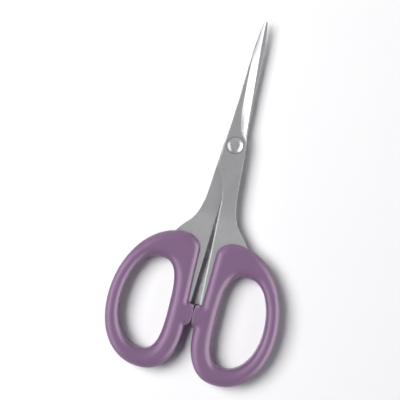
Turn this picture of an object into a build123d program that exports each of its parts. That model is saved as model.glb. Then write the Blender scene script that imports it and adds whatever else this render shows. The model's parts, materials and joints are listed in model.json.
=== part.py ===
from build123d import *
from math import cos, pi, sin
import os

# Fine-pointed craft scissors, lying closed and flat, with two plastic loop handles.
#
# +Z is up, +Y runs towards the tips and +X to the right. The origin is at the bottom centre of the
# whole object. Both halves are the same shape: the front half is drawn about the pivot, with z = 0 on
# the plane where the blades slide, and the back half is the front half turned over about the Y axis.
# The front blade cuts with its right edge, and its shank and handle are on the right.

# ---- driving dimensions, in millimetres, about the pivot ----

# Overall
TIP_Y = 47.4                 # tips ahead of the pivot
HANDLE_END_Y = -88.1         # far end of the handles behind the pivot
PIVOT_Y = -(TIP_Y + HANDLE_END_Y) / 2
HANDLE_THICKNESS = 8.0
PIVOT_Z = HANDLE_THICKNESS / 2
BLADE_GAP = 0.04             # running clearance between the two blades

# Blade stamping
BLADE_THICKNESS = 1.5
TIP_THICKNESS = 0.35         # the outer face is ground down towards the tip
TAPER_START_Y = 26.0
TIP_LEFT = (-0.60, TIP_Y)
TIP_RIGHT = (-0.40, TIP_Y)
NOTCH = (-4.40, -8.3)        # where the outlines of the two halves cross when closed
SPINE = [TIP_LEFT, (-1.20, 44.0), (-1.90, 37.0), (-2.45, 25.0), (-3.02, 13.0), (-3.88, 0.0), NOTCH]
INNER_CORNERS = [NOTCH, (-1.00, -14.2), (0.05, -19.5), (1.80, -61.0)]
INNER_RADII = [12.0, 40.0]
TIP_DIRECTION = (0.10, -1.0)     # the cutting edge, as it leaves the tip
EDGE_STRAIGHT = [(0.45, 38.0), (3.12, 4.5)]
EDGE_HEEL = (3.95, 1.2)
SHANK_OUTER = [
    EDGE_HEEL, (4.30, -3.0), (5.30, -16.0), (6.60, -25.0), (9.00, -30.0), (12.45, -34.0), (14.20, -36.6),
]
TANG = [
    SHANK_OUTER[-1], (13.2, -39.5), (9.3, -43.0), (7.8, -50.0), (7.4, -66.0), (3.4, -67.0), INNER_CORNERS[-1],
]
TANG_RADII = [1.5, 3.0, 6.0, 1.5, 2.0]
KEYING_HOLES = [(8.6, -39.0, 1.6), (5.0, -46.5, 1.0), (5.0, -57.0, 1.0)]    # x, y, radius

# Ground bevel: y, where it leaves the flat, and the thickness left at the cutting edge
BEVEL = [
    (1.0, 3.40, BLADE_THICKNESS),
    (2.5, 2.85, 1.40),
    (4.0, 1.85, 0.98),
    (6.0, 0.62, 0.43),
    (9.0, -0.12, 0.20),
    (14.0, -0.75, 0.12),
    (22.0, -1.22, 0.12),
    (31.0, -1.60, 0.12),
    (41.0, -1.20, 0.12),
    (47.0, -0.62, 0.12),
    (49.0, -0.40, 0.12),
]

# Rivet and washer
SHANK_RADIUS = 1.5
RUNNING_CLEARANCE = 0.05     # radial, in the front blade
HEAD_RADIUS = 2.95
HEAD_RISE = 0.8              # above the blade's outer face
HEAD_FLAT_RADIUS = 1.5
HEAD_SHOULDER_RADIUS = 2.5  # a point half-way down the dome
HEAD_SHOULDER_RISE = 0.52
SPOT_RADIUS = 3.4            # shallow spot face that the head and the washer sit in
SPOT_DEPTH = 0.2
HEAD_CLEARANCE = 0.03
WASHER_RADIUS = 2.8
WASHER_THICKNESS = 0.5
TAIL_RADIUS = 2.2
TAIL_RISE = 0.7
TAIL_FLAT_RADIUS = 0.9
TAIL_SHOULDER_RADIUS = 1.75  # a point half-way down the peened edge
TAIL_SHOULDER_RISE = 0.5

# Handle: points where the outline runs along X (top, bottom) or along Y (outer, inner)
OUTLINE_TOP = (10.0, -35.5)
OUTLINE_OUTER = (32.2, -65.0)
OUTLINE_BOTTOM = (14.5, HANDLE_END_Y)
OUTLINE_INNER_LOW = (1.8, -70.0)
OUTLINE_INNER_HIGH = (3.1, -41.0)
HOLE_TOP = (17.0, -46.6)
HOLE_OUTER = (27.3, -65.0)
HOLE_BOTTOM = (16.5, -81.3)
HOLE_INNER = (9.2, -64.0)
INNER_SIDE = [(2.35, -64.0), (2.72, -57.0), (2.92, -49.0)]
SHOULDER_RADIUS = 2.2        # along the outside and round the finger hole

# Stop bump, which meets the one on the other handle
BUMP_GAP = 0.10              # left between the two crowns when closed
BUMP_TOP_Y = -61.1
BUMP_BOTTOM_Y = -67.6
BUMP_CROWN = 0.3
BUMP_ROOT_X = 4.5
BUMP_FLARE = 0.9             # the bump is this much taller at its root, at each end
BUMP_EDGE_RADIUS = 0.6

QUARTER_STEPS = 5            # intervals between the points drawn on each quarter of an outline


def quarter(flat_point, steep_point, exponent):
    """Points on a quarter superellipse, from a point running along X to a point running along Y."""
    centre_x, centre_y = flat_point[0], steep_point[1]
    reach_x = steep_point[0] - centre_x
    reach_y = flat_point[1] - centre_y
    points = [flat_point]
    for step in range(1, QUARTER_STEPS):
        turn = pi / 2 * step / QUARTER_STEPS
        across = sin(turn) ** (2 / exponent)
        along = cos(turn) ** (2 / exponent)
        points.append((centre_x + reach_x * across, centre_y + reach_y * along))
    return points + [steep_point]


def loop_outline():
    """Smooth closed outline of the loop, without the stop bump."""
    points = quarter(OUTLINE_TOP, OUTLINE_OUTER, 2.0)
    points += quarter(OUTLINE_BOTTOM, OUTLINE_OUTER, 2.15)[-2::-1]
    points += quarter(OUTLINE_BOTTOM, OUTLINE_INNER_LOW, 2.3)[1:]
    points += INNER_SIDE
    points += quarter(OUTLINE_TOP, OUTLINE_INNER_HIGH, 2.0)[:0:-1]
    return make_face(Spline(points, periodic=True))


def finger_hole():
    """Smooth closed outline of the finger hole."""
    points = quarter(HOLE_TOP, HOLE_OUTER, 2.1)
    points += quarter(HOLE_BOTTOM, HOLE_OUTER, 2.0)[-2::-1]
    points += quarter(HOLE_BOTTOM, HOLE_INNER, 3.0)[1:]
    points += quarter(HOLE_TOP, HOLE_INNER, 3.0)[-2:0:-1]
    return make_face(Spline(points, periodic=True))


def thickness_at(y):
    """Blade thickness along its length: full up to the taper, then down to the tip."""
    run = max(y - TAPER_START_Y, 0) / (TIP_Y - TAPER_START_Y)
    return BLADE_THICKNESS - run * (BLADE_THICKNESS - TIP_THICKNESS)


def edge_x_at(y):
    """The cutting edge's straight line, continued past both of its ends."""
    (x_far, y_far), (x_near, y_near) = EDGE_STRAIGHT
    return x_near + (x_far - x_near) * (y - y_near) / (y_far - y_near)


def blade_outline():
    """Outline of one stamping, from the tip to the end of the tang."""
    edge_direction = Vector(*EDGE_STRAIGHT[1]) - Vector(*EDGE_STRAIGHT[0])
    edges = [
        Line(TIP_RIGHT, TIP_LEFT),
        Spline(SPINE),
        FilletPolyline(INNER_CORNERS, radius=INNER_RADII),
        Spline(TIP_RIGHT, EDGE_STRAIGHT[0], tangents=[TIP_DIRECTION, edge_direction]),
        Line(EDGE_STRAIGHT),
        Line(EDGE_STRAIGHT[1], EDGE_HEEL),
        Spline(SHANK_OUTER),
        FilletPolyline(TANG, radius=TANG_RADII),
    ]
    return make_face(edges)


def bevel_cutter():
    """What the grinding takes off the outer face, along the cutting edge."""
    sections = []
    overrun = 1.0
    for y, start_x, edge_thickness in BEVEL:
        top = thickness_at(y)
        edge_x = max(edge_x_at(y), start_x + 0.15)
        slope = (top - edge_thickness) / (edge_x - start_x)
        section = Polyline(
            (start_x, y, top),
            (edge_x + overrun, y, top - slope * (edge_x + overrun - start_x)),
            (edge_x + overrun, y, BLADE_THICKNESS + overrun),
            (start_x, y, BLADE_THICKNESS + overrun),
            close=True,
        )
        sections.append(make_face(section))
    return loft(sections)


def taper_cutter():
    """Wedge that thins the outer face of the blade towards its tip."""
    overrun = 1.0
    reach = TIP_Y + overrun
    side = Polyline(
        (0, TAPER_START_Y, BLADE_THICKNESS),
        (0, reach, thickness_at(reach)),
        (0, reach, BLADE_THICKNESS + overrun),
        (0, TAPER_START_Y, BLADE_THICKNESS + overrun),
        close=True,
    )
    return extrude(make_face(side), amount=10, dir=(1, 0, 0), both=True)


def blade(hole_radius):
    """One stamping: blade, shank and tang, with its sliding face on z = 0."""
    solid = extrude(blade_outline(), amount=BLADE_THICKNESS)
    solid -= taper_cutter()
    solid -= bevel_cutter()
    through = 4 * BLADE_THICKNESS
    solid -= Cylinder(hole_radius, through)
    spot_floor = BLADE_THICKNESS - SPOT_DEPTH
    solid -= Pos(0, 0, spot_floor) * Cylinder(SPOT_RADIUS, 1, align=(Align.CENTER, Align.CENTER, Align.MIN))
    for x, y, radius in KEYING_HOLES:
        solid -= Pos(x, y, 0) * Cylinder(radius, through)
    return Pos(0, 0, BLADE_GAP / 2) * solid


def handle_loop():
    """The loop: outline, finger hole and rounded shoulders, without the stop bump."""
    half = HANDLE_THICKNESS / 2
    loop = extrude(loop_outline() - finger_hole(), amount=half, both=True)
    rims = loop.edges().filter_by_position(Axis.Z, half, half)
    rims += loop.edges().filter_by_position(Axis.Z, -half, -half)
    return fillet(rims, SHOULDER_RADIUS)


def stop_bump():
    """Block on the loop's inner side, with a slightly crowned contact face."""
    half = HANDLE_THICKNESS / 2
    crown_x = BUMP_GAP / 2
    middle_y = (BUMP_TOP_Y + BUMP_BOTTOM_Y) / 2
    top_corner = (crown_x + BUMP_CROWN, BUMP_TOP_Y)
    bottom_corner = (crown_x + BUMP_CROWN, BUMP_BOTTOM_Y)
    outline = make_face([
        ThreePointArc(bottom_corner, (crown_x, middle_y), top_corner),
        Polyline(
            top_corner,
            (BUMP_ROOT_X, BUMP_TOP_Y + BUMP_FLARE),
            (BUMP_ROOT_X, BUMP_BOTTOM_Y - BUMP_FLARE),
            bottom_corner,
        ),
    ])
    block = extrude(outline, amount=half, both=True)
    inner_edges = [edge for edge in block.edges() if edge.center().X < BUMP_ROOT_X - 0.1]
    return fillet(inner_edges, BUMP_EDGE_RADIUS)


def handle(tang):
    """One moulding, with the tang's pocket, its keying plugs and its stop bump."""
    return handle_loop() + stop_bump() - tang


def rivet():
    """Domed head in front, plain shank, peened tail behind the washer."""
    face = BLADE_GAP / 2 + BLADE_THICKNESS
    head_under = face - SPOT_DEPTH + HEAD_CLEARANCE
    head_top = face + HEAD_RISE
    tail_start = -(face - SPOT_DEPTH + WASHER_THICKNESS)
    profile = make_face([
        Polyline(
            (0, 0, head_top),
            (HEAD_FLAT_RADIUS, 0, head_top),
        ),
        ThreePointArc(
            (HEAD_FLAT_RADIUS, 0, head_top),
            (HEAD_SHOULDER_RADIUS, 0, face + HEAD_SHOULDER_RISE),
            (HEAD_RADIUS, 0, face),
        ),
        Polyline(
            (HEAD_RADIUS, 0, face),
            (HEAD_RADIUS, 0, head_under),
            (SHANK_RADIUS, 0, head_under),
            (SHANK_RADIUS, 0, tail_start),
            (TAIL_RADIUS, 0, tail_start),
        ),
        ThreePointArc(
            (TAIL_RADIUS, 0, tail_start),
            (TAIL_SHOULDER_RADIUS, 0, tail_start - TAIL_SHOULDER_RISE),
            (TAIL_FLAT_RADIUS, 0, tail_start - TAIL_RISE),
        ),
        Polyline(
            (TAIL_FLAT_RADIUS, 0, tail_start - TAIL_RISE),
            (0, 0, tail_start - TAIL_RISE),
            (0, 0, head_top),
        ),
    ])
    return revolve(profile, Axis.Z)


def washer():
    """Flat washer in the back blade's spot face."""
    floor = -(BLADE_GAP / 2 + BLADE_THICKNESS - SPOT_DEPTH)
    ring = Circle(WASHER_RADIUS) - Circle(SHANK_RADIUS)
    return Pos(0, 0, floor) * extrude(ring, amount=-WASHER_THICKNESS)


def main():
    """Builds each piece, moves it into the object's frame and writes it."""
    frame = Pos(0, PIVOT_Y, PIVOT_Z)
    turned_over = Rot(0, 180, 0)
    running_blade = blade(SHANK_RADIUS + RUNNING_CLEARANCE)
    riveted_blade = blade(SHANK_RADIUS)
    pieces = {
        "front_blade": running_blade,
        "front_handle": handle(running_blade),
        "back_blade": turned_over * riveted_blade,
        "back_handle": turned_over * handle(riveted_blade),
        "pivot_rivet": rivet(),
        "pivot_washer": washer(),
    }
    os.makedirs("parts", exist_ok=True)
    for name, piece in pieces.items():
        export_step(frame * piece, f"parts/{name}.step")


main()
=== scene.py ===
import json
import math

import bmesh
import bpy
import numpy as np
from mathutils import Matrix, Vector


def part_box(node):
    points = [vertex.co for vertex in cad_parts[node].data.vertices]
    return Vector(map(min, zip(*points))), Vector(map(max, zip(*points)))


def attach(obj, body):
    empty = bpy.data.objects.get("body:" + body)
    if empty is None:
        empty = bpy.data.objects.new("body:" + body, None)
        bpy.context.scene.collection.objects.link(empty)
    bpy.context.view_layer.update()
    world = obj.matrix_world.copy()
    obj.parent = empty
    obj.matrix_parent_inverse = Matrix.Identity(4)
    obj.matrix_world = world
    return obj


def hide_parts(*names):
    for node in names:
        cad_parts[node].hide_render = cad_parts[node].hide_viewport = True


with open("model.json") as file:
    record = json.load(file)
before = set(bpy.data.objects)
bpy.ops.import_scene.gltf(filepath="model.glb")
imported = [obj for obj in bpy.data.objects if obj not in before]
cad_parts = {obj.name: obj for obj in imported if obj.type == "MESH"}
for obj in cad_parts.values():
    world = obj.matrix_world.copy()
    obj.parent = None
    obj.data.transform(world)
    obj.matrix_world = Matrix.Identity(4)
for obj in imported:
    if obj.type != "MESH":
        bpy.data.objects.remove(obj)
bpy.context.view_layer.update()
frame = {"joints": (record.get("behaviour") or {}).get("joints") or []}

# ---- the frame, in metres ----

PIVOT = Vector(frame["joints"][0]["pos_m"])
MM = 0.001

# ---- the design's dimensions, in millimetres about the pivot, for the front half ----
# Points are (x, y), with +Y towards the tips. A list of radii rounds the inner corners of the list above it.

# Blade stamping: z is 0 on the plane where the blades slide, and rises to the outer face
SLIDE_GAP = 0.02              # from that plane to each blade's sliding face
BLADE_THICKNESS = (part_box("front_blade")[1].z - PIVOT.z) / MM - SLIDE_GAP
TIP_THICKNESS = 0.35
TAPER_START_Y = 26.0
TIP_Y = 47.4
TANG_END_Y = -66.6
NOTCH = (-4.40, -8.3)
SPINE = [(-0.60, TIP_Y), (-1.20, 44.0), (-1.90, 37.0), (-2.45, 25.0), (-3.02, 13.0), (-3.88, 0.0), NOTCH]
INNER_CORNERS = [NOTCH, (-1.00, -14.2), (0.05, -19.5), (1.80, -61.0), (3.4, -67.0)]
INNER_RADII = [12.0, 40.0, 4.0]
EDGE = [(-0.04, TIP_Y), (0.08, 44.0), (0.45, 38.0), (3.12, 4.5), (3.95, 1.2)]
EDGE_RADII = [30.0, 60.0, 1.5]
SHANK_OUTER = [
    (3.95, 1.2), (4.30, -3.0), (5.30, -16.0), (6.60, -25.0), (9.00, -30.0), (12.45, -34.0), (14.20, -36.6),
]
TANG = [(14.2, -36.6), (13.2, -39.5), (9.3, -43.0), (7.8, -50.0), (7.4, -67.0)]
TANG_RADII = [1.5, 3.0, 6.0]
BEVEL_START = [               # where the ground bevel begins on the outer face
    (4.00, -8.0), (3.72, -4.0), (3.55, -1.0), (3.40, 1.0), (3.12, 2.0), (2.55, 3.0), (1.85, 4.0), (0.62, 6.0),
    (-0.16, 9.0), (-0.80, 14.0), (-1.27, 22.0), (-1.74, 31.0), (-1.76, 36.0), (-1.40, 41.0), (-1.05, 44.0),
    (-0.58, TIP_Y),
]
EDGE_LAND = [                 # (z, y): how high the bevel still is where it meets the cutting edge
    (1.47, -8.0), (1.45, -2.0), (1.43, 1.0), (1.38, 2.0), (1.26, 3.0), (1.06, 4.0), (0.70, 6.0), (0.57, 8.0),
    (0.46, 10.0), (0.35, 12.0), (0.25, 14.0), (0.16, 18.0), (0.12, 22.0), (0.12, TIP_Y),
]
BEVEL_HEEL_Y = -8.0           # the bevel runs out here
BEVEL_CROWN = 0.018           # how far the ground bevel bulges, as a share of its width
NARROWEST_BEVEL = 0.12
NARROWEST_FLAT = 0.03         # between the spine's broken edge and the bevel, as a share of the blade's width
SPINE_BREAK = 0.12            # each broken edge of the outer face: how wide it is, and how far it drops
SPINE_BREAK_SHARE = 0.15      # at most this share of the blade's width
SPINE_DROP = 0.08
INNER_BREAK = 0.45
INNER_DROP = (0.17, 0.02)     # on the lower shank, and near the notch
INNER_DROP_Y = (-22.0, -15.0)
OUTER_BREAK = 0.40
OUTER_DROP = 0.05
STEEPEST_LEAN = 1.6           # the most that a broken edge widens where the outline runs across
EDGE_ROUNDING = 0.04          # how far back from its corner every crisp edge starts to round
EDGE_ROUNDING_SHARE = 0.15    # at most this share of the shorter side beside it
SUPPORT = 0.10                # how far from a corner its neighbouring flat is held flat
SUPPORT_SHARE = 0.35          # at most this share of the flat
POINTS_PER_CORNER = 5
INNER_POINTS = (0.4, 0.5, 0.6)    # extra points across a wide flat, as shares of its width

# Rivet and washer
RIVET_HOLE_RADIUS = 1.55
SPOT_RADIUS = 3.4
SPOT_DEPTH = 0.2
SHANK_RADIUS = 1.5            # of the rivet
HEAD_RISE = 0.8               # above the blade's outer face
HEAD_GAP = 0.03               # between the head's underside and the spot face
HEAD_PROFILE = [              # radius, and depth below the head's highest ring
    (0, 0.10), (0.5, 0.09), (0.95, 0.05), (1.3, 0.005), (1.46, 0), (1.62, 0.03), (1.85, 0.12), (2.1, 0.23),
    (2.4, 0.375), (2.7, 0.53), (2.9, 0.64), (2.95, 0.72),
]
HEAD_RIM_ROUNDING = 0.03
WASHER_RADIUS = 2.8
WASHER_THICKNESS = 0.5
WASHER_ROUNDING = 0.09
TAIL_PROFILE = [              # radius, and height above the washer
    (2.16, 0), (2.2, 0.04), (2.16, 0.2), (1.95, 0.45), (1.6, 0.6), (1.1, 0.68), (0.8, 0.7), (0.45, 0.6),
    (0, 0.48),
]
TURNED_SEGMENTS = 128
CUT_SEGMENTS = 96

# Handle
HANDLE_HALF = (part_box("front_handle")[1].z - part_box("front_handle")[0].z) / MM / 2    # of its thickness
OUTLINE_TOP = (10.0, -35.5)
OUTLINE_OUTER = (32.2, -65.0)
OUTLINE_BOTTOM = (14.5, -88.1)
OUTLINE_INNER_LOW = (1.8, -70.0)
OUTLINE_INNER_HIGH = (3.1, -41.0)
INNER_SIDE = [OUTLINE_INNER_LOW, (2.35, -64.0), (2.72, -57.0), (2.92, -49.0), OUTLINE_INNER_HIGH]
BUMP_CORNERS = [
    (1.80, -69.2), (0.38, -67.7), (0.02, -65.6), (0.02, -63.4), (0.28, -61.0), (2.70, -60.45),
]
BUMP_RADII = [0.9, 0.6, 4.0, 4.0, 0.22, 0.45]
BUMP_CLEARANCE = (0.4, 1.0)   # along Y, from the bump's first and last corner to the plain inner side
OUTLINE_EXPONENTS = (2.0, 2.15, 2.3, 2.0)    # of the superelliptic quarters, clockwise from the front end
HOLE_TOP = (17.0, -46.6)
HOLE_OUTER = (27.3, -65.0)
HOLE_BOTTOM = (16.5, -81.3)
HOLE_INNER = (9.2, -64.0)
HOLE_EXPONENTS = (2.1, 2.0, 3.0, 3.0)
HOLE_AXIS_X = 17.5            # the hole's long axis, which the mesh fans out from
HOLE_AXIS_Y = (-72.0, -56.0)
OUTER_SHOULDER_SHARE = 0.46   # the shoulders follow the moulding's local width, within these limits
OUTER_SHOULDER = (1.6, 2.9)
HOLE_SHOULDER_SHARE = 0.52
HOLE_SHOULDER = (2.4, 3.6)
OUTER_RIM_TILT = math.radians(58)    # how steep each shoulder is where it meets the side wall
HOLE_RIM_TILT = math.radians(64)
BUMP_SHOULDER = 0.4
BUMP_REACH = (2.0, -69.0, -60.2)    # the bump lies inside this X, and between these Y
SPAN_PASSES = 40              # how often the local width is evened out, and then the shoulder's width
SHOULDER_PASSES = 2
PARTING_HEIGHT = 0.04         # how far the mould's parting line stands proud of the side walls
PARTING_HALF_WIDTH = 0.10
PARTING_CREST = 0.3           # its crest's share of that width
WALL_SHARES = (1.0, 0.66, 0.33)   # rows down a side wall, as shares of its height above the parting line
HOLE_SHOULDER_ROWS = 12
OUTER_SHOULDER_ROWS = 11
FLAT_ROWS = (0.2, 0.4, 0.6, 0.8)  # rows between the two shoulders, as shares of the way


# ---- curves ----

def natural_spline(points):
    """x as a smooth function of y through the given (x, y) points."""
    ordered = sorted(points, key=lambda p: p[1])
    xs = np.array([p[0] for p in ordered])
    ys = np.array([p[1] for p in ordered])
    h = np.diff(ys)
    n = len(ys)
    system = np.eye(n)
    rhs = np.zeros(n)
    for i in range(1, n - 1):
        system[i, i - 1:i + 2] = (h[i - 1], 2 * (h[i - 1] + h[i]), h[i])
        rhs[i] = 6 * ((xs[i + 1] - xs[i]) / h[i] - (xs[i] - xs[i - 1]) / h[i - 1])
    bend = np.linalg.solve(system, rhs)

    def at(y):
        i = np.clip(np.searchsorted(ys, y) - 1, 0, n - 2)
        a, b = (ys[i + 1] - y) / h[i], (y - ys[i]) / h[i]
        curve = ((a ** 3 - a) * bend[i] + (b ** 3 - b) * bend[i + 1]) * h[i] ** 2 / 6
        return a * xs[i] + b * xs[i + 1] + curve
    return at


def rounded_corners(points, radii, steps=8):
    """Dense points along a polyline whose inner corners are rounded by arcs of the given radii."""
    points = [np.array(p, float) for p in points]
    path = [points[0]]
    for before, corner, after, radius in zip(points, points[1:], points[2:], radii):
        to_before = (before - corner) / np.linalg.norm(before - corner)
        to_after = (after - corner) / np.linalg.norm(after - corner)
        half = math.acos(np.clip(to_before @ to_after, -1, 1)) / 2
        reach = min(radius / math.tan(half), 0.48 * np.linalg.norm(before - corner),
                    0.48 * np.linalg.norm(after - corner))
        radius = reach * math.tan(half)
        bisector = to_before + to_after
        centre = corner + bisector / np.linalg.norm(bisector) * radius / math.sin(half)
        start, end = corner + to_before * reach - centre, corner + to_after * reach - centre
        sweep = math.pi - 2 * half
        for step in range(steps + 1):
            t = step / steps
            arm = start * math.sin((1 - t) * sweep) + end * math.sin(t * sweep)
            path.append(centre + arm / math.sin(sweep))
    return np.array(path + [points[-1]])


def quarter(flat_point, steep_point, exponent, steps=40):
    """Quarter of a superellipse from a point running along X to a point running along Y."""
    turn = np.linspace(0, math.pi / 2, steps + 1)
    across = np.sin(turn) ** (2 / exponent)
    along = np.cos(turn).clip(0) ** (2 / exponent)
    x = flat_point[0] + (steep_point[0] - flat_point[0]) * across
    y = steep_point[1] + (flat_point[1] - steep_point[1]) * along
    return np.stack([x, y], axis=1)


def resample(path, spacing):
    """Points at even spacing along an open path, both ends included."""
    lengths = np.linalg.norm(np.diff(path, axis=0), axis=1)
    along = np.concatenate([[0], np.cumsum(lengths)])
    count = max(2, round(along[-1] / spacing) + 1)
    places = np.linspace(0, along[-1], count)
    return np.stack([np.interp(places, along, path[:, k]) for k in (0, 1)], axis=1)


# ---- meshes ----

def to_frame(points, turned_over=False):
    """Millimetres about the pivot to metres in the row frame, turned over for the back half."""
    points = np.asarray(points, float) * MM
    if turned_over:
        points = points * (-1, 1, -1)
    return points + np.array(PIVOT)


def tube(name, rings, closed_path=False, turned_over=False):
    """Object from rings of points: a closed ring at each row, capped at both ends unless the path closes."""
    rows, count = len(rings), len(rings[0])
    vertices = to_frame(np.concatenate(rings), turned_over)
    faces = []
    for row in range(rows if closed_path else rows - 1):
        for k in range(count):
            a, b = row * count, (row + 1) % rows * count
            faces.append((a + k, a + (k + 1) % count, b + (k + 1) % count, b + k))
    if not closed_path:
        faces.append(tuple(reversed(range(count))))
        faces.append(tuple(range((rows - 1) * count, rows * count)))
    mesh = bpy.data.meshes.new(name)
    mesh.from_pydata([tuple(v) for v in vertices], [], faces)
    return finished(name, mesh)


def finished(name, mesh):
    """Object for a mesh, with its faces turned outwards and shaded smooth."""
    work = bmesh.new()
    work.from_mesh(mesh)
    bmesh.ops.recalc_face_normals(work, faces=work.faces)
    work.to_mesh(mesh)
    work.free()
    mesh.shade_smooth()
    piece = bpy.data.objects.new(name, mesh)
    bpy.context.scene.collection.objects.link(piece)
    return piece


def lathe(name, profile, segments=TURNED_SEGMENTS, turned_over=False):
    """Object turned about the pivot's axis from a profile of (radius, z), from axis to axis."""
    angles = np.linspace(0, 2 * math.pi, segments, endpoint=False)
    mesh = bpy.data.meshes.new(name)
    work = bmesh.new()
    rings = []
    for radius, z in profile:
        if radius < 1e-6:
            rings.append([work.verts.new(to_frame((0, 0, z), turned_over))])
        else:
            rings.append([
                work.verts.new(to_frame((radius * math.cos(a), radius * math.sin(a), z), turned_over))
                for a in angles
            ])
    for near, far in zip(rings, rings[1:]):
        for k in range(segments):
            corners = [near[k % len(near)], near[(k + 1) % len(near)],
                       far[(k + 1) % len(far)], far[k % len(far)]]
            work.faces.new(list(dict.fromkeys(corners)))
    work.to_mesh(mesh)
    work.free()
    return finished(name, mesh)


def crisp(piece, degrees=60):
    """Marks the edges that turn by more than an angle, so that each side keeps its own shading."""
    work = bmesh.new()
    work.from_mesh(piece.data)
    for edge in work.edges:
        edge.smooth = not edge.is_manifold or edge.calc_face_angle(0) < math.radians(degrees)
    work.to_mesh(piece.data)
    work.free()


def cut_round(piece, radius, low, high, turned_over):
    """Cuts a cylinder about the pivot's axis out of a piece."""
    profile = [(0, low), (radius, low), (radius, high), (0, high)]
    cutter = lathe("cutter", profile, segments=CUT_SEGMENTS, turned_over=turned_over)
    cut = piece.modifiers.new("cut", "BOOLEAN")
    cut.operation = "DIFFERENCE"
    cut.solver = "EXACT"
    cut.object = cutter
    bpy.context.view_layer.objects.active = piece
    bpy.ops.object.modifier_apply(modifier=cut.name)
    bpy.data.objects.remove(cutter)


# ---- blade ----

def soft_ring(corners):
    """Section polygon with each corner rounded, and a point on either side that keeps the flats flat."""
    corners = np.array(corners, float)
    ring = []
    for k, corner in enumerate(corners):
        before, after = corners[k - 1] - corner, corners[(k + 1) % len(corners)] - corner
        lengths = [max(np.linalg.norm(away), 1e-9) for away in (before, after)]
        rounding = min(EDGE_ROUNDING, EDGE_ROUNDING_SHARE * min(lengths))
        start, end = corner + before / lengths[0] * rounding, corner + after / lengths[1] * rounding
        middle = 0.25 * start + 0.5 * corner + 0.25 * end
        support_before = corner + before / lengths[0] * min(SUPPORT, SUPPORT_SHARE * lengths[0])
        support_after = corner + after / lengths[1] * min(SUPPORT, SUPPORT_SHARE * lengths[1])
        ring += [support_before, start, middle, end, support_after]
    return ring


def blade_rows():
    """Places along the blade, closer together where its outline or its bevel turns."""
    stretches = [
        (TIP_Y, 42.0, 0.3), (42.0, 12.0, 0.75), (12.0, 6.0, 0.4), (6.0, -1.0, 0.2), (-1.0, -7.6, 0.6),
        (-7.6, -9.0, 0.07), (-9.0, -12.0, 0.4), (-12.0, -22.0, 0.25), (-22.0, -28.0, 0.4),
        (-28.0, -37.5, 0.25), (-37.5, -60.0, 0.9), (-60.0, TANG_END_Y, 0.3),
    ]
    rows = [np.arange(start, end, -step) for start, end, step in stretches]
    return np.concatenate(rows + [[TANG_END_Y]])


def by_y(path):
    """x as a function of y along a dense path that runs steadily down."""
    path = np.asarray(path)
    order = np.argsort(path[:, 1])
    return lambda y: np.interp(y, path[order, 1], path[order, 0])


def blade_sides():
    """The left and right sides of the stamping, as functions of y."""
    spine = natural_spline(SPINE)
    spine_y = np.linspace(TIP_Y, NOTCH[1], 200)
    spine_path = np.stack([spine(spine_y), spine_y], axis=1)
    inner_path = rounded_corners(INNER_CORNERS, INNER_RADII)
    left = by_y(np.concatenate([spine_path, inner_path[1:]]))
    edge_path = rounded_corners(EDGE, EDGE_RADII)
    outer = natural_spline(SHANK_OUTER)
    outer_y = np.linspace(SHANK_OUTER[0][1], SHANK_OUTER[-1][1], 200)
    outer_path = np.stack([outer(outer_y), outer_y], axis=1)
    tang_path = rounded_corners(TANG, TANG_RADII)
    right = by_y(np.concatenate([edge_path, outer_path[1:], tang_path[1:]]))
    return left, right


def lean(side, y):
    """How much wider a strip along a side gets when it is measured along X."""
    step = 0.2
    slope = (side(y + step) - side(y - step)) / (2 * step)
    return min(math.hypot(1, slope), STEEPEST_LEAN)


def blade_section(y, left, right, bevel_start, edge_land):
    """Section across the stamping at y, from the spine over the outer face and back under."""
    x_left, x_right = left(y), right(y)
    taper = max(y - TAPER_START_Y, 0) / (TIP_Y - TAPER_START_Y)
    top = BLADE_THICKNESS - taper * (BLADE_THICKNESS - TIP_THICKNESS)
    width = x_right - x_left
    on_blade = y > NOTCH[1]
    if on_blade:
        spine_break = min(SPINE_BREAK, SPINE_BREAK_SHARE * width)
        spine_drop = SPINE_DROP
    else:
        spine_break = INNER_BREAK * lean(left, y)
        spine_drop = np.interp(y, INNER_DROP_Y, INNER_DROP)
    if y >= BEVEL_HEEL_Y:
        x_bevel = max(bevel_start(y), x_left + spine_break + NARROWEST_FLAT * width)
        x_bevel = min(x_bevel, x_right - NARROWEST_BEVEL)
        land = edge_land(y)
        crown = BEVEL_CROWN
    else:
        x_bevel = x_right - OUTER_BREAK * lean(right, y)
        land = top - OUTER_DROP
        crown = 0.0
    up_to_bevel = [(x_left, 0.0), (x_left, top - spine_drop), (x_left + spine_break, top), (x_bevel, top)]
    ring = soft_ring(up_to_bevel + [(x_right, land), (x_right, 0.0)])
    reach = x_right - x_bevel
    bevel = [(x_bevel + t * reach, top + t * (land - top)) for t in INNER_POINTS]
    bevel_at = POINTS_PER_CORNER * len(up_to_bevel)
    crowned = []
    for x, z in ring[:bevel_at] + bevel + ring[bevel_at:]:
        t = (x - x_bevel) / reach
        on_bevel = 0 < t < 1 and z > 0.5 * land
        crowned.append((x, z + crown * reach * 4 * t * (1 - t) if on_bevel else z))
    sliding_face = [(x_right - width * t, 0.0) for t in INNER_POINTS]
    return [(x, y, z + SLIDE_GAP) for x, z in crowned + sliding_face]


def make_blade(name, turned_over):
    """One stamping: blade, shank and tang."""
    left, right = blade_sides()
    bevel_start = natural_spline(BEVEL_START)
    edge_land = by_y(EDGE_LAND)
    rings = [blade_section(y, left, right, bevel_start, edge_land) for y in blade_rows()]
    piece = tube(name, rings, turned_over=turned_over)
    outer_face = BLADE_THICKNESS + SLIDE_GAP
    cut_round(piece, SPOT_RADIUS, outer_face - SPOT_DEPTH, outer_face + 1, turned_over)
    cut_round(piece, RIVET_HOLE_RADIUS, -1, outer_face + 1, turned_over)
    crisp(piece)
    return piece


# ---- handle ----

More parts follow.
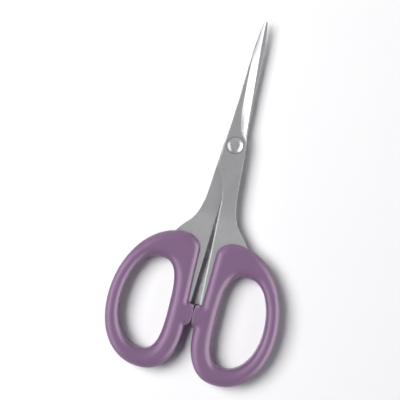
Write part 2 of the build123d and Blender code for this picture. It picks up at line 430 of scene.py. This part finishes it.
def handle_outline():
    """Closed outline of the moulding with its stop bump."""
    side = natural_spline(INNER_SIDE)
    low_y = np.linspace(OUTLINE_INNER_LOW[1], BUMP_CORNERS[0][1] - BUMP_CLEARANCE[0], 6)
    high_y = np.linspace(BUMP_CORNERS[-1][1] + BUMP_CLEARANCE[1], OUTLINE_INNER_HIGH[1], 30)
    below = np.stack([side(low_y), low_y], axis=1)
    above = np.stack([side(high_y), high_y], axis=1)
    bump = rounded_corners([below[-1], *BUMP_CORNERS, above[0]], BUMP_RADII)
    stretches = [                 # each with the spacing of its points
        (quarter(OUTLINE_TOP, OUTLINE_OUTER, OUTLINE_EXPONENTS[0]), 0.5),
        (quarter(OUTLINE_BOTTOM, OUTLINE_OUTER, OUTLINE_EXPONENTS[1])[::-1], 0.5),
        (quarter(OUTLINE_BOTTOM, OUTLINE_INNER_LOW, OUTLINE_EXPONENTS[2]), 0.5),
        (below, 0.3),
        (bump, 0.14),
        (above, 0.5),
        (quarter(OUTLINE_TOP, OUTLINE_INNER_HIGH, OUTLINE_EXPONENTS[3])[::-1], 0.35),
    ]
    return np.concatenate([resample(path, spacing)[:-1] for path, spacing in stretches])


def finger_hole():
    """Closed outline of the finger hole."""
    quarters = [
        quarter(HOLE_TOP, HOLE_OUTER, HOLE_EXPONENTS[0]),
        quarter(HOLE_BOTTOM, HOLE_OUTER, HOLE_EXPONENTS[1])[::-1],
        quarter(HOLE_BOTTOM, HOLE_INNER, HOLE_EXPONENTS[2]),
        quarter(HOLE_TOP, HOLE_INNER, HOLE_EXPONENTS[3])[::-1],
    ]
    return np.concatenate([path[:-1] for path in quarters])


def across_hole_edge(outline, hole):
    """For each outline point, where the line from the hole's long axis to it leaves the hole."""
    found = []
    ends = np.roll(hole, -1, axis=0)
    for point in outline:
        start = np.array([HOLE_AXIS_X, np.clip(point[1], *HOLE_AXIS_Y)])
        ray = point - start
        edge = ends - hole
        offset = hole - start
        cross = ray[0] * edge[:, 1] - ray[1] * edge[:, 0]
        cross = np.where(np.abs(cross) < 1e-12, 1e-12, cross)
        along_ray = (offset[:, 0] * edge[:, 1] - offset[:, 1] * edge[:, 0]) / cross
        along_edge = (offset[:, 0] * ray[1] - offset[:, 1] * ray[0]) / cross
        hit = (along_ray > 0) & (along_edge >= -1e-9) & (along_edge <= 1 + 1e-9)
        found.append(start + ray * along_ray[hit].min())
    return np.array(found)


def shoulder_drop(points, loop, radii, rim_tilt):
    """How far the rounded shoulder along a closed loop lowers the face at each point.

    radii are the shoulder's widths, and rim_tilt is how steep it is where it meets the side wall.
    """
    a, b = loop, np.roll(loop, -1, axis=0)
    edge = b - a
    drop = np.zeros(len(points))
    for k in range(len(loop)):
        t = np.clip((points - a[k]) @ edge[k] / (edge[k] @ edge[k]), 0, 1)
        distance = np.linalg.norm(points - a[k] - t[:, None] * edge[k], axis=1)
        radius = radii[k] + t * (radii[(k + 1) % len(loop)] - radii[k])
        inside = np.clip(radius - distance, 0, None)
        bow = radius / math.sin(rim_tilt)
        drop = np.maximum(drop, bow - np.sqrt(bow ** 2 - inside ** 2))
    return drop


def outward(loop):
    """Unit normals of a closed loop, pointing away from its middle."""
    along = np.roll(loop, -1, axis=0) - np.roll(loop, 1, axis=0)
    normals = np.stack([along[:, 1], -along[:, 0]], axis=1)
    normals /= np.linalg.norm(normals, axis=1)[:, None]
    middle = loop.mean(axis=0)
    return normals if ((loop - middle) * normals).sum() > 0 else -normals


def wall(points, normals, heights):
    """Rows down a side wall from its top shoulder to its bottom one, with the mould's parting line."""
    foot = np.full(len(points), PARTING_HALF_WIDTH)
    crest = points + normals * PARTING_HEIGHT
    upper = [(points, heights * share) for share in WALL_SHARES]
    upper += [(points, foot), (crest, foot * PARTING_CREST)]
    lower = [(xy, -z) for xy, z in reversed(upper)]
    return [np.column_stack([xy, z]) for xy, z in upper + lower]


def smoothed(values, passes):
    """Values round a closed loop, evened out between neighbours."""
    for _ in range(passes):
        values = (np.roll(values, 1) + 2 * values + np.roll(values, -1)) / 4
    return values


def rows_from_rim(reach, count):
    """Distances from a rim up to a reach, closer together near the rim."""
    return reach * (1 - np.cos(np.linspace(0, math.pi / 2, count)))


def make_handle(name, turned_over):
    """One moulding: a loop round the finger hole with rounded shoulders, and its stop bump."""
    outline = handle_outline()
    outline = outline - outward(outline) * PARTING_HEIGHT
    hole = finger_hole()
    inner = across_hole_edge(outline, hole)
    span = np.linalg.norm(outline - inner, axis=1)
    even_span = smoothed(span, SPAN_PASSES)
    hole_radii = np.clip(even_span * HOLE_SHOULDER_SHARE, *HOLE_SHOULDER)
    wide = np.clip(even_span * OUTER_SHOULDER_SHARE, *OUTER_SHOULDER)
    inside_x, low_y, high_y = BUMP_REACH
    in_bump = (outline[:, 0] < inside_x) & (outline[:, 1] > low_y) & (outline[:, 1] < high_y)
    outline_radii = smoothed(np.where(in_bump, BUMP_SHOULDER, wide), SHOULDER_PASSES)

    # rows across the top face from the hole to the outline, as shares of the way, closer at each rim
    from_hole = rows_from_rim(hole_radii.max(), HOLE_SHOULDER_ROWS)
    from_outline = rows_from_rim(outline_radii.max(), OUTER_SHOULDER_ROWS)
    inside = [np.minimum(d / span, HOLE_SHOULDER_SHARE * d / from_hole[-1]) for d in from_hole]
    outside = [1 - np.minimum(d / span, OUTER_SHOULDER_SHARE * d / from_outline[-1]) for d in from_outline]
    between = [inside[-1] + (outside[-1] - inside[-1]) * t for t in FLAT_ROWS]
    top = []
    for share in inside + between + outside[::-1]:
        xy = inner + (outline - inner) * share[:, None]
        outer_drop = shoulder_drop(xy, outline, outline_radii, OUTER_RIM_TILT)
        hole_drop = shoulder_drop(xy, inner, hole_radii, HOLE_RIM_TILT)
        top.append(np.column_stack([xy, HANDLE_HALF - np.maximum(outer_drop, hole_drop)]))
    outer_wall = wall(outline, outward(outline), top[-1][:, 2])
    inner_wall = wall(inner, -outward(inner), top[0][:, 2])
    bottom = [row * (1, 1, -1) for row in top]
    rows = top + outer_wall[1:-1] + bottom[::-1] + inner_wall[1:-1][::-1]
    rings = list(np.stack(rows, axis=1))
    return tube(name, rings, closed_path=True, turned_over=turned_over)


# ---- rivet and washer ----

def make_rivet():
    """Domed, slightly dished head in front, plain shank, peened tail at the back."""
    face = BLADE_THICKNESS + SLIDE_GAP
    head_top = face + HEAD_RISE
    head_under = face - SPOT_DEPTH + HEAD_GAP
    rim_radius = HEAD_PROFILE[-1][0]
    tail_start = -(face - SPOT_DEPTH + WASHER_THICKNESS)
    head = [(radius, head_top - depth) for radius, depth in HEAD_PROFILE]
    rim = [(rim_radius, head_under + HEAD_RIM_ROUNDING), (rim_radius - HEAD_RIM_ROUNDING, head_under)]
    shank = [(SHANK_RADIUS, head_under), (SHANK_RADIUS, tail_start)]
    tail = [(radius, tail_start - height) for radius, height in TAIL_PROFILE]
    piece = lathe("rivet", head + rim + shank + tail)
    crisp(piece)
    return piece


def make_washer():
    """Thin washer with rolled edges, in the back blade's spot face."""
    floor = -(BLADE_THICKNESS + SLIDE_GAP - SPOT_DEPTH)
    under = floor - WASHER_THICKNESS
    soft = WASHER_ROUNDING
    loop = [
        (SHANK_RADIUS, floor - soft), (SHANK_RADIUS + soft, floor), (WASHER_RADIUS - soft, floor),
        (WASHER_RADIUS, floor - soft), (WASHER_RADIUS, under + soft), (WASHER_RADIUS - soft, under),
        (SHANK_RADIUS + soft, under), (SHANK_RADIUS, under + soft),
    ]
    angles = np.linspace(0, 2 * math.pi, TURNED_SEGMENTS, endpoint=False)
    rings = [[(r * math.cos(a), r * math.sin(a), z) for r, z in loop] for a in angles]
    piece = tube("washer", rings, closed_path=True)
    crisp(piece)
    return piece


# ---- materials ----

SHANK_PAINTED_SHEEN = 1.15           # painted reflection: how much brighter the steel is painted behind the first place than ahead of the second
SHANK_PAINTED_SHEEN_Y = (PIVOT.y - 29 * MM, PIVOT.y - 24 * MM)
SPOT_RING_SHADE = 0.72             # painted shade: how dark the spot faces are painted beside the rivet head and the washer, where the recess lies in shade
SPOT_RING_SHADE_RADII = ((SPOT_RADIUS - 0.12) * MM, SPOT_RADIUS * MM)
NOISE_CORNER = (-0.1, -0.1, -0.1)    # beyond the whole object, so that its noise is read at positive places
NOISE_MIDDLE = (0.3, 0.7)     # the values that most of a noise lies between


def from_pivot(node, place):
    """Socket with the distance from the pivot's axis."""
    about = node("ShaderNodeVectorMath", {0: place, 1: tuple(PIVOT)}, operation="SUBTRACT").outputs[0]
    flat = node("ShaderNodeVectorMath", {0: about, 1: (1.0, 1.0, 0.0)}, operation="MULTIPLY").outputs[0]
    return node("ShaderNodeVectorMath", {0: flat}, operation="LENGTH").outputs["Value"]


def noise_place(node, place):
    """Socket with the place that noise is read at."""
    return node("ShaderNodeVectorMath", {0: place, 1: NOISE_CORNER}, operation="SUBTRACT").outputs[0]


def new_material(name):
    """A material, its node maker, its links and its main shader."""
    material = bpy.data.materials.new(name)
    material.use_nodes = True
    nodes, links = material.node_tree.nodes, material.node_tree.links
    shader = nodes["Principled BSDF"]

    def node(kind, inputs=None, **settings):
        made = nodes.new(kind)
        for key, value in settings.items():
            setattr(made, key, value)
        for key, value in (inputs or {}).items():
            if isinstance(value, bpy.types.NodeSocket):
                links.new(value, made.inputs[key])
            else:
                made.inputs[key].default_value = value
        return made
    return material, node, links, shader


def vary_roughness(node, links, shader, noise, low, high):
    """Makes the roughness follow a noise, between a low and a high value."""
    rough = node("ShaderNodeMapRange", {
        "Value": noise.outputs["Fac"], "From Min": NOISE_MIDDLE[0], "From Max": NOISE_MIDDLE[1],
        "To Min": low, "To Max": high,
    })
    links.new(rough.outputs["Result"], shader.inputs["Roughness"])


def roughen(node, links, shader, noise, strength, height):
    """Adds the fine relief of a noise."""
    bump = node("ShaderNodeBump", {"Height": noise.outputs["Fac"], "Strength": strength, "Distance": height})
    links.new(bump.outputs["Normal"], shader.inputs["Normal"])


def steel(name, base, roughness, scratch_scale, scratch_bump):
    """Satin steel with fine grinding lines, a painted reflection that brightens the tangs and lower shanks,
    and painted shade round the rivet.

    scratch_scale is how often the lines repeat along X, Y and Z, and scratch_bump is how strongly they show.
    """
    material, node, links, shader = new_material(name)
    place = node("ShaderNodeTexCoord").outputs["Object"]
    start = noise_place(node, place)
    stretched = node("ShaderNodeVectorMath", {0: start, 1: scratch_scale}, operation="MULTIPLY").outputs[0]
    lines = node("ShaderNodeTexNoise", {"Vector": stretched, "Scale": 1.0, "Detail": 5.0, "Roughness": 0.65})
    cloud = node("ShaderNodeTexNoise", {"Vector": start, "Scale": 160.0, "Detail": 3.0})
    tone = node("ShaderNodeValToRGB", {"Fac": lines.outputs["Fac"]})
    tone.color_ramp.elements[0].position = NOISE_MIDDLE[0]
    tone.color_ramp.elements[0].color = (*[c * 0.90 for c in base], 1)
    tone.color_ramp.elements[1].position = NOISE_MIDDLE[1]
    tone.color_ramp.elements[1].color = (*[min(c * 1.06, 1) for c in base], 1)
    along = node("ShaderNodeSeparateXYZ", {0: place}).outputs["Y"]
    # painted reflection: the steel's colour is made brighter towards the tang, standing in for a brighter
    # reflection there
    sheen_factor = node("ShaderNodeMapRange", {
        "Value": along, "From Min": SHANK_PAINTED_SHEEN_Y[0], "From Max": SHANK_PAINTED_SHEEN_Y[1],
        "To Min": SHANK_PAINTED_SHEEN, "To Max": 1.0,
    }, interpolation_type="SMOOTHSTEP")
    # painted shade: the steel's colour is darkened in a ring of the spot face beside the rivet head, where
    # shade falls in the recess
    ring_shade_factor = node("ShaderNodeMapRange", {
        "Value": from_pivot(node, place), "From Min": SPOT_RING_SHADE_RADII[0], "From Max": SPOT_RING_SHADE_RADII[1],
        "To Min": SPOT_RING_SHADE, "To Max": 1.0,
    })
    share = node("ShaderNodeMath", {0: sheen_factor.outputs["Result"], 1: ring_shade_factor.outputs["Result"]},
                 operation="MULTIPLY")
    shaded = node("ShaderNodeVectorMath", {0: tone.outputs["Color"], "Scale": share.outputs[0]},
                  operation="SCALE")
    links.new(shaded.outputs[0], shader.inputs["Base Color"])
    vary_roughness(node, links, shader, cloud, roughness - 0.04, roughness + 0.05)
    grooves = node("ShaderNodeTexNoise", {"Vector": stretched, "Scale": 1.0, "Detail": 2.0})
    roughen(node, links, shader, grooves, scratch_bump, 0.02 * MM)
    shader.inputs["Metallic"].default_value = 1.0
    return material


def turned_steel(name, base, roughness):
    """Semi-bright steel with fine rings about the pivot."""
    material, node, links, shader = new_material(name)
    place = node("ShaderNodeTexCoord").outputs["Object"]
    rings = node("ShaderNodeTexNoise", {"W": from_pivot(node, place), "Scale": 9000.0, "Detail": 3.0},
                 noise_dimensions="1D")
    marks = node("ShaderNodeTexNoise", {"Vector": noise_place(node, place), "Scale": 900.0, "Detail": 4.0})
    tone = node("ShaderNodeMix", {"Factor": marks.outputs["Fac"]}, data_type="RGBA")
    tone.inputs["A"].default_value = (*[c * 0.86 for c in base], 1)
    tone.inputs["B"].default_value = (*[min(c * 1.1, 1) for c in base], 1)
    links.new(tone.outputs["Result"], shader.inputs["Base Color"])
    vary_roughness(node, links, shader, marks, roughness - 0.05, roughness + 0.06)
    roughen(node, links, shader, rings, 0.15, 0.02 * MM)
    shader.inputs["Metallic"].default_value = 1.0
    return material


def plastic(name, base, roughness):
    """Moulded plastic: fine spark-eroded grain, faint flow marks and a soft gloss."""
    material, node, links, shader = new_material(name)
    place = node("ShaderNodeTexCoord").outputs["Object"]
    start = noise_place(node, place)
    flow = node("ShaderNodeTexNoise", {"Vector": start, "Scale": 120.0, "Detail": 2.0, "Distortion": 0.6})
    grain = node("ShaderNodeTexNoise", {"Vector": start, "Scale": 4200.0, "Detail": 2.0, "Roughness": 0.6})
    tone = node("ShaderNodeMix", {"Factor": flow.outputs["Fac"]}, data_type="RGBA")
    tone.inputs["A"].default_value = (*[c * 0.93 for c in base], 1)
    tone.inputs["B"].default_value = (*[c * 1.07 for c in base], 1)
    links.new(tone.outputs["Result"], shader.inputs["Base Color"])
    vary_roughness(node, links, shader, grain, roughness - 0.03, roughness + 0.05)
    roughen(node, links, shader, grain, 0.12, 0.03 * MM)
    shader.inputs["Specular IOR Level"].default_value = 1.0
    shader.inputs["Specular Tint"].default_value = (1.0, 0.84, 0.98, 1)
    shader.inputs["IOR"].default_value = 1.65
    return material


def paper(name, tone):
    """Plain pale floor with a faint unevenness."""
    material, node, links, shader = new_material(name)
    place = node("ShaderNodeTexCoord").outputs["Object"]
    cloud = node("ShaderNodeTexNoise", {"Vector": place, "Scale": 30.0, "Detail": 2.0})
    shade = node("ShaderNodeMix", {"Factor": cloud.outputs["Fac"]}, data_type="RGBA")
    shade.inputs["A"].default_value = (tone, tone, tone, 1)
    shade.inputs["B"].default_value = (tone * 0.985, tone * 0.985, tone * 0.99, 1)
    links.new(shade.outputs["Result"], shader.inputs["Base Color"])
    shader.inputs["Roughness"].default_value = 0.9
    shader.inputs["Specular IOR Level"].default_value = 0.1
    return material


def dress(piece, material):
    """Gives a piece its material."""
    piece.data.materials.append(material)


# ---- studio ----

HORIZON_TONE = (0.62, 0.63, 0.65)
CEILING_TONE = (0.050, 0.051, 0.062)
ROOM_HEIGHTS = (0.10, 0.34)   # where the horizon's tone ends and the ceiling's starts, as sines of elevation
CAMERA_ROLL = math.radians(14.2)
CAMERA_WIDTH = 148.8 * MM     # of what is in view
CAMERA_AIM = PIVOT + Vector((-7.68, -22.82, 0)) * MM
FLOOR_HALF = 3.0
FLOOR_GAP = 0.02 * MM         # under the handles, so that the faces don't coincide


def make_floor():
    """Large pale sheet that the scissors lie on."""
    mesh = bpy.data.meshes.new("floor")
    corners = [(x * FLOOR_HALF, y * FLOOR_HALF, 0) for x, y in ((-1, -1), (1, -1), (1, 1), (-1, 1))]
    mesh.from_pydata(corners, [], [(0, 1, 2, 3)])
    floor = bpy.data.objects.new("floor", mesh)
    floor.location.z = -FLOOR_GAP
    bpy.context.scene.collection.objects.link(floor)
    dress(floor, paper("floor paper", 0.90))


def add_softbox(name, azimuth, elevation, distance, size, radiance, in_reflections=True, lights_up=True):
    """Rectangular light that faces the frame's origin. Azimuth is from +X towards +Y, in degrees."""
    data = bpy.data.lights.new(name, "AREA")
    data.shape = "RECTANGLE"
    data.size, data.size_y = size
    data.energy = radiance * math.pi * size[0] * size[1]
    light = bpy.data.objects.new(name, data)
    a, e = math.radians(azimuth), math.radians(elevation)
    toward = Vector((math.cos(a) * math.cos(e), math.sin(a) * math.cos(e), math.sin(e)))
    light.location = toward * distance
    light.rotation_euler = toward.to_track_quat("Z", "Y").to_euler()
    light.visible_glossy = in_reflections
    light.visible_diffuse = lights_up
    bpy.context.scene.collection.objects.link(light)


def make_lights():
    """Soft key high on the left, weak fill on the right, and panels all round that only show in the gloss."""
    add_softbox("key", 174, 53, 1.0, (0.62, 0.62), 11.2, in_reflections=False)
    add_softbox("overhead", 0, 90, 1.2, (1.2, 1.2), 0.46, lights_up=False)
    add_softbox("fill", 0, 28, 0.8, (1.2, 0.9), 0.50)
    add_softbox("right panel", 0, 29, 0.8, (1.2, 0.66), 2.1, lights_up=False)
    add_softbox("right core", 0, 29, 0.8, (1.2, 0.38), 3.4, lights_up=False)
    add_softbox("left panel", 200, 35, 0.8, (1.05, 0.40), 1.9, lights_up=False)
    add_softbox("left high panel", 182, 60, 0.9, (0.5, 0.30), 0.5, lights_up=False)
    add_softbox("far panel", 100, 36, 0.8, (1.5, 0.7), 0.58, lights_up=False)
    add_softbox("near panel", 270, 36, 0.8, (1.2, 0.7), 0.38, lights_up=False)


def make_room():
    """Grey room with a pale band round the horizon."""
    world = bpy.data.worlds.new("room")
    world.use_nodes = True
    nodes, links = world.node_tree.nodes, world.node_tree.links
    direction = nodes.new("ShaderNodeTexCoord")
    height = nodes.new("ShaderNodeSeparateXYZ")
    links.new(direction.outputs["Generated"], height.inputs[0])
    ramp = nodes.new("ShaderNodeValToRGB")
    ramp.color_ramp.interpolation = "EASE"
    ramp.color_ramp.elements[0].position = ROOM_HEIGHTS[0]
    ramp.color_ramp.elements[0].color = (*HORIZON_TONE, 1)
    ramp.color_ramp.elements[1].position = ROOM_HEIGHTS[1]
    ramp.color_ramp.elements[1].color = (*CEILING_TONE, 1)
    links.new(height.outputs["Z"], ramp.inputs["Fac"])
    links.new(ramp.outputs["Color"], nodes["Background"].inputs["Color"])
    bpy.context.scene.world = world


def make_camera():
    """Straight down, turned so that the tips point up and to the right."""
    data = bpy.data.cameras.new("camera")
    data.lens = 100
    data.sensor_width = 36
    distance = CAMERA_WIDTH * data.lens / data.sensor_width
    camera = bpy.data.objects.new("camera", data)
    camera.location = CAMERA_AIM + Vector((0, 0, distance))
    camera.rotation_euler = (0, 0, CAMERA_ROLL)
    data.clip_start = 0.01
    data.clip_end = 10
    bpy.context.scene.collection.objects.link(camera)
    bpy.context.scene.camera = camera


# ---- assembly ----

def main():
    """Builds every piece on its body, then the studio."""
    blade_flat = steel("blade steel", (0.60, 0.60, 0.605), 0.28, (9000, 300, 9000), 0.05)
    rivet_steel = turned_steel("rivet steel", (0.58, 0.58, 0.585), 0.32)
    handle_plastic = plastic("handle plastic", (0.147, 0.073, 0.156), 0.34)

    for side, turned_over in (("front", False), ("back", True)):
        blade = make_blade(f"{side}_blade_steel", turned_over)
        dress(blade, blade_flat)
        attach(blade, f"{side}_half")
        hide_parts(f"{side}_blade")
        handle = make_handle(f"{side}_handle_moulding", turned_over)
        dress(handle, handle_plastic)
        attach(handle, f"{side}_half")
        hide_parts(f"{side}_handle")

    rivet = make_rivet()
    dress(rivet, rivet_steel)
    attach(rivet, "back_half")
    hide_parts("pivot_rivet")
    washer = make_washer()
    dress(washer, rivet_steel)
    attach(washer, "back_half")
    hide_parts("pivot_washer")

    make_floor()
    make_lights()
    make_room()
    make_camera()
    bpy.context.scene.view_settings.view_transform = "Standard"


main()
